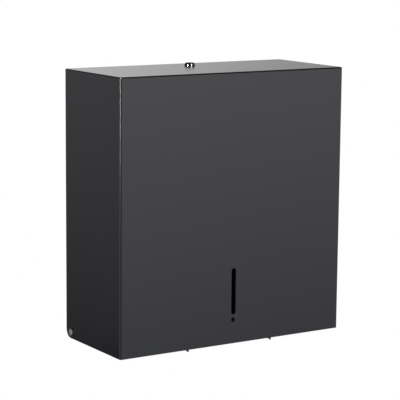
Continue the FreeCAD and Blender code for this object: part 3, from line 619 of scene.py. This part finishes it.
class DISPENSER_OT_lock(bpy.types.Operator):
    """Cam lock: sloping head, core with a three-sided key socket, nut, cam and cam screw"""
    bl_idname = "dispenser.lock"
    bl_label = "Lock"

    def execute(self, context):
        fittings = context.scene.dispenser_fittings
        enamel = shared(enamel_over_zinc_die_casting, fittings)
        zinc = shared(zinc_plate_over_rolled_steel, fittings)
        origin = JOINTS["lock_turn"]
        pitch = fittings.coarse_thread / MM
        (low, (bore, corner)), (high, _) = stations(corners("lock_nut"), origin, UP)
        flats = corner * HEXAGON
        profile = rounded([
            (low, bore, 0, 0), (low, flats / 2, flats, 0), (low + 0.4, corner, flats, 0),
            (high, corner, flats, 0), (high, bore, 0, 0)], 2, closed=True)
        grid = turned(finer(profile, low, low + 0.4, 0.08))
        nut = skin(stand(grid, origin, UP, AHEAD), closed=True)
        show([nut], "lock_fixing_nut", "cover", zinc, "zinc_plated_steel", ["lock_nut"])

        barrel = stations(corners("lock_barrel"), origin, UP)
        (low, (core, thread)), (cover, (_, flange)), (brim, _) = barrel[:3]
        top, (mouth, rim) = barrel[-1]
        seat = next(place for place, radii in barrel if place > 0 and radii[-1] < rim)
        # Threaded barrel up to the cover, then a head whose wall slopes in to a rounded rim.
        profile = rounded([
            (low, core, 0, 0.1), (low, thread - 0.35, 0, 0), (low + 0.3, thread, 0, 0),
            (high, thread, 0, 0), (cover, thread, 0, 0), (cover, flange, 0, 0.15),
            (brim + 1, flange - 0.65, 0, 1.2), (top, rim, 0, 0.6), (top, mouth + 0.25, 0, 0.15),
            (top - 0.3, mouth, 0, 0.1), (seat, mouth, 0, 0), (seat, core, 0, 0)], 9, closed=True)
        # Rows 0.2 mm apart carry the thread, and keep the shading of the sloping wall even.
        profile = finer(finer(profile, low + 0.3, high, 0.2), 0.2, brim - 0.1, 0.2)
        grid = turned(profile, 72, thread=(low + 0.3, high, pitch, 0.45 * pitch))
        head = skin(stand(grid, origin, UP, AHEAD), closed=True)
        show([head], "lock_head", "cover", enamel, "black_lock", ["lock_barrel"])

        plug = stations(corners("lock_plug"), origin, UP)
        (tang_low, (hole, tang)), (cam_top, _), (bottom, _), (pit, _), (under, _) = plug[:5]
        top, (key, face) = plug[-1]
        # The core turns 0.05 mm clear of its bore, and its face 0.03 mm above the head's seat.
        body, under = core - 0.05, under + 0.03
        profile = rounded([
            (bottom, 0, 0, 0), (bottom, hole, 0, 0), (cam_top, hole, 0, 0), (cam_top, body, 0, 0.2),
            (under, body, 0, 0), (under, face, 0, 0), (top - 0.1, face, 0, 0.3),
            (top, face - 0.35, 0, 0.1), (top, key + 0.1, key + 0.2, 0.05), (top - 0.2, key, key, 0),
            (pit, key, key, 0), (pit, 0, 0, 0)])
        core_grid = turned(profile, 72, sides=3, turn=math.pi / 6)
        square = np.array([
            (tang_low, hole, 0), (tang_low, tang, tang * math.sqrt(2)),
            (cam_top, tang, tang * math.sqrt(2)), (cam_top, hole, 0)])
        tang_grid = turned(square, 48, sides=4, turn=math.pi / 4)
        meshes = [
            skin(stand(core_grid, origin, UP, AHEAD)),
            skin(stand(tang_grid, origin, UP, AHEAD), closed=True)]
        show(meshes, "lock_core", "lock_rotor", enamel, "black_lock", ["lock_plug"])

        plating = 0.15 * MM
        folded_sheet("lock_cam", "lock_latch", plating, "lock_rotor", zinc, "zinc_plated_steel")
        screw = stations(corners("cam_screw"), origin, UP)
        (low, (corner,)), (under, (thread, _)), (tip, _) = screw
        flats = corner * HEXAGON
        profile = rounded([
            (low, 0, 0, 0), (low, flats / 2 - 0.3, flats, 0), (low + 0.35, corner, flats, 0),
            (under - 0.2, corner, flats, 0), (under, corner, 0, 0), (under, thread, 0, 0),
            (tip, thread, 0, 0), (tip, 0, 0, 0)], 2)
        grid = turned(finer(profile, low, low + 0.35, 0.07), 48)
        show([skin(stand(grid, origin, UP, AHEAD))], "latch_screw", "lock_rotor", zinc,
             "zinc_plated_steel", ["cam_screw"])
        return {"FINISHED"}


class DISPENSER_OT_spool(bpy.types.Operator):
    """Moulded spool that carries the roll's core, and the screw that keeps it on"""
    bl_idname = "dispenser.spool"
    bl_label = "Spool"

    def execute(self, context):
        settings = context.scene.dispenser_spool
        fittings = context.scene.dispenser_fittings
        edge = settings.edge / MM
        origin = JOINTS["spool_spin"]
        hub = stations(corners("spool"), origin, AHEAD)
        (rear, _), (collar, (sleeve, wall, barrel, rim)), (rib_end, _), (taper, _) = hub[:4]
        front, (bore, _, _, nose) = hub[-1]
        profile = rounded([
            (rear, bore, 0, edge), (rear, rim, 0, edge * 2), (collar, rim, 0, edge * 2),
            (collar, barrel, 0, edge * 3), (taper, barrel, 0, 2), (front, nose, 0, edge * 0.8),
            (front, wall, 0, edge * 0.6), (collar, wall, 0, 1), (collar, sleeve, 0, 1),
            (front, sleeve, 0, edge), (front, bore, 0, edge)], 6, closed=True)
        meshes = [skin(stand(turned(profile, 96), origin, AHEAD), closed=True)]
        # A rib's section runs from the collar to its front edge, where it narrows to a line.
        half = settings.rib / MM / 2
        across = np.array([-half, half, half, -half])
        reach = np.array([sleeve - 0.45, sleeve - 0.45, wall + 0.4, wall + 0.4])
        span = np.array([collar - 0.6, rib_end - 0.6, rib_end - 0.05, rib_end])[:, None]
        pinch = np.array([1.0, 1.0, 0.75, 0.0])[:, None]
        for step in range(settings.ribs):
            bearing = 2 * math.pi * step / settings.ribs
            x = across * pinch * math.cos(bearing) + reach * math.sin(bearing)
            y = reach * math.cos(bearing) - across * pinch * math.sin(bearing)
            meshes.append(skin(stand(np.stack([x, y, span + 0 * x], 2), origin, AHEAD)))
        plastic = shared(abs_injection_moulded, settings)
        show(meshes, "roll_spool", "roll_spool", plastic, "grey_abs", ["spool"])

        (tip, thread), (seat, flange), (step, _), (pit, socket), (top, head) = (
            (place, radii[-1]) for place, radii in stations(corners("spool_screw"), origin, AHEAD))
        flats = socket * HEXAGON
        pitch = fittings.coarse_thread / MM
        # Threaded shank, flange, and a cap head with a hexagon socket.
        profile = rounded([
            (tip, 0, 0, 0), (tip, thread - 0.4, 0, 0), (tip + 0.4, thread, 0, 0),
            (seat, thread, 0, 0), (seat, flange, 0, 0.3), (step, flange, 0, 0.5),
            (step, head, 0, 0.4), (top - 0.3, head, 0, 0.35), (top, head - 0.35, 0, 0.1),
            (top, socket + 0.3, 0, 0.1), (top - 0.2, socket + 0.1, flats, 0),
            (pit, socket + 0.1, flats, 0), (pit - 0.2, 0, 0, 0)])
        profile = finer(profile, tip + 0.4, seat, 0.16)
        grid = turned(profile, 84, thread=(tip + 0.2, seat, pitch, 0.45 * pitch))
        zinc = shared(zinc_plate_over_rolled_steel, fittings)
        show([skin(stand(grid, origin, AHEAD))], "spool_keeper", "wall_frame", zinc,
             "zinc_plated_steel", ["spool_screw"])
        return {"FINISHED"}


class DISPENSER_OT_stage(bpy.types.Operator):
    """Camera at the photograph's angle, lamps, panels, black cloths, floor and world"""
    bl_idname = "dispenser.stage"
    bl_label = "Stage"

    def execute(self, context):
        stage = context.scene.dispenser_stage
        self.set_camera(context.scene, stage)
        # The strip draws the line in the front-left bend. The other two make the lock's highlights.
        self.softbox("left_strip", -76, 0.11, (0.12, 0.42), stage.left_lamp)
        self.softbox("high_softbox", 8, 1.18, (0.48, 0.7), stage.high_lamp)
        lock_lamp = self.softbox(
            "lock_lamp", -77, 0.75, (0.25, 0.3), stage.lock_lamp, JOINTS["lock_turn"])
        lock_lamp.spread = math.radians(12)  # so that its beam misses the hinge screw
        # Graded panels that the satin faces mirror: brighter upwards in front and behind the left
        # side, and dimmer towards the right behind the top.
        self.panel("front_panel", (0.72, -1.19, -0.2), 0.9, 1.0, (-0.34, -0.2, 1.1),
                   ("#d2d8ff", 0.29), ("#ffffff", 1.89))
        self.panel("left_panel", (-0.81, 1.05, -0.1), 0.9, 0.8, (-0.4, -0.3, 1.0),
                   ("#fdfdff", 0.0), ("#fdfdff", 0.55))
        self.panel("rear_panel", (1.0, 1.3, 0.4), 1.1, 1.2, RIGHT,
                   ("#ffffff", 0.93), ("#ffffff", 0.19))
        # Black cloths that the bends and the lock mirror between the lamps.
        for name, centre, width, depth, facing in (
                ("black_curtain", (-0.82, -1.72, 0.1), 2.9, 2.6, (0.82, 1.72, 0)),
                ("black_cloth_in_front", (0.8, -1.58, 0.85), 2.4, 1.2, (-0.8, 1.58, 0)),
                ("black_flag", (-1.1, 1.3, 0.95), 2.2, 1.3, (1.1, -1.3, -0.4)),
                ("black_cloth_behind", (-0.79, 1.02, -0.73), 1.0, 0.5, (0.81, -1.05, 0)),
                ("black_ceiling", (0, 0, 1.5), 5, 5, (0, 0, -1)),
                ("black_cloth_below", (0, -0.06, -0.45), 0.8, 0.8, UP)):
            self.card(name, centre, width, depth, facing, "#020202")
        # Unlike these cards, the floor is seen, bounces light and blocks it.
        floor = self.card("floor", (0, 0, -stage.drop), 4.5, 4.5, UP, "#e8e8e6")
        floor.visible_camera = floor.visible_diffuse = floor.visible_shadow = True
        self.set_world(context.scene)
        context.scene.view_settings.view_transform = "Standard"
        return {"FINISHED"}

    def set_camera(self, scene, stage):
        """The camera stands off its aim at an azimuth and elevation, and leans by the roll."""
        turn, rise = stage.azimuth, stage.elevation
        level = math.cos(rise)
        toward = Vector((math.sin(turn) * level, -math.cos(turn) * level, math.sin(rise)))
        right = Vector((math.cos(turn), math.sin(turn), 0))
        lean = Matrix.Rotation(stage.roll, 3, toward)
        right, upward = lean @ right, lean @ toward.cross(right)
        place = Vector(stage.aim) + toward * stage.distance
        data = bpy.data.cameras.new("photo_camera")
        data.lens = stage.lens
        data.sensor_width = 36
        data.clip_start = 0.05
        camera = bpy.data.objects.new("photo_camera", data)
        camera.matrix_world = Matrix((
            (right.x, upward.x, toward.x, place.x),
            (right.y, upward.y, toward.y, place.y),
            (right.z, upward.z, toward.z, place.z),
            (0, 0, 0, 1)))
        scene.collection.objects.link(camera)
        scene.camera = camera

    def set_world(self, scene):
        """Even white light from all round."""
        world = bpy.data.worlds.new("studio_white")
        world.use_nodes = True
        feed(world.node_tree.nodes["Background"], {"Color": (1, 1, 1, 1), "Strength": 1.0})
        scene.world = world

    def softbox(self, name, azimuth, height, extent, watts, aim=MIDDLE):
        """An area lamp that faces its aim from an azimuth, and that only mirrors show."""
        distance = 1.6
        data = bpy.data.lights.new(name, "AREA")
        data.shape = "RECTANGLE"
        data.size, data.size_y = extent
        data.energy = watts
        lamp = bpy.data.objects.new(name, data)
        turn = math.radians(azimuth)
        lamp.location = (math.sin(turn) * distance, -math.cos(turn) * distance, height)
        lamp.rotation_euler = (Vector(aim) - lamp.location).to_track_quat("-Z", "Y").to_euler()
        lamp.visible_camera = lamp.visible_diffuse = False
        bpy.context.scene.collection.objects.link(lamp)
        return data

    def card(self, name, centre, width, depth, facing, hex_colour):
        """A flat card that only mirrors show. Its corners lie half its width and half its depth
        from its centre, turned so that its normal points along facing."""
        spots = np.array([(-1, -1, 0), (1, -1, 0), (1, 1, 0), (-1, 1, 0)]) * (width, depth, 0) / 2
        turn = np.array(Vector(facing).to_track_quat("Z", "Y").to_matrix())
        data = bpy.data.meshes.new(name)
        data.from_pydata(spots @ turn.T + np.array(centre), [], [(0, 1, 2, 3)])
        material, shader, place = start("painted_" + name, shade(hex_colour), {"Roughness": 0.9})
        weave = add(material, "ShaderNodeTexNoise", {"Vector": place, "Scale": 1 / (20 * MM)})
        bump = add(material, "ShaderNodeBump", {
            "Height": weave.outputs["Fac"], "Distance": 1 * MM, "Strength": 0.1})
        feed(shader, {"Normal": bump.outputs["Normal"]})
        data.materials.append(material)
        card = bpy.data.objects.new(name, data)
        card.visible_camera = card.visible_diffuse = card.visible_shadow = False
        bpy.context.scene.collection.objects.link(card)
        return card

    def panel(self, name, centre, width, height, direction, low, high):
        """An upright light panel turned to the dispenser. Its colour and strength run evenly from
        low to high along a direction: each point's place times the direction, from its least to
        its most."""
        card = self.card(name, centre, width, height, (-centre[0], -centre[1], 0), "#000000")
        spots = np.empty(12, dtype=np.float32)
        card.data.vertices.foreach_get("co", spots)
        reach = spots.reshape(4, 3) @ np.array(direction)
        material = card.data.materials[0]
        place = add(material, "ShaderNodeTexCoord", {}).outputs["Object"]
        along = add(material, "ShaderNodeVectorMath", {
            0: place, 1: direction}, operation="DOT_PRODUCT")
        part = add(material, "ShaderNodeMapRange", {
            "Value": along.outputs["Value"], "From Min": reach.min(), "From Max": reach.max()})
        low, high = (toned(shade(hex_colour), strength) for hex_colour, strength in (low, high))
        light = add(material, "ShaderNodeMix", {
            0: part.outputs["Result"], 6: low, 7: high}, data_type="RGBA", clamp_result=False)
        glow = add(material, "ShaderNodeEmission", {"Color": light.outputs[2], "Strength": 1.0})
        feed(material.node_tree.nodes["Material Output"], {"Surface": glow.outputs[0]})


class DISPENSER_PT_pieces(bpy.types.Panel):
    """Sidebar panel that lists the operators"""
    bl_idname = "DISPENSER_PT_pieces"
    bl_label = "Dispenser"
    bl_space_type = "VIEW_3D"
    bl_region_type = "UI"
    bl_category = "Dispenser"

    def draw(self, context):
        for operator in OPERATORS:
            self.layout.operator(operator.bl_idname)


GROUPS = {
    "dispenser_coat": CoatSettings,
    "dispenser_fittings": FittingSettings,
    "dispenser_spool": SpoolSettings,
    "dispenser_stage": StageSettings,
}
OPERATORS = (
    DISPENSER_OT_stage,
    DISPENSER_OT_cover,
    DISPENSER_OT_frame,
    DISPENSER_OT_blades,
    DISPENSER_OT_hinges,
    DISPENSER_OT_lock,
    DISPENSER_OT_spool,
)


def register():
    for cls in (*GROUPS.values(), *OPERATORS, DISPENSER_PT_pieces):
        bpy.utils.register_class(cls)
    for name, group in GROUPS.items():
        setattr(bpy.types.Scene, name, bpy.props.PointerProperty(type=group))


def unregister():
    for name in GROUPS:
        delattr(bpy.types.Scene, name)
    for cls in (DISPENSER_PT_pieces, *OPERATORS, *GROUPS.values()):
        bpy.utils.unregister_class(cls)


def main():
    register()
    bpy.ops.dispenser.stage()
    bpy.ops.dispenser.cover()
    bpy.ops.dispenser.frame()
    bpy.ops.dispenser.blades()
    bpy.ops.dispenser.hinges()
    bpy.ops.dispenser.lock()
    bpy.ops.dispenser.spool()


if __name__ == "__main__":
    main()
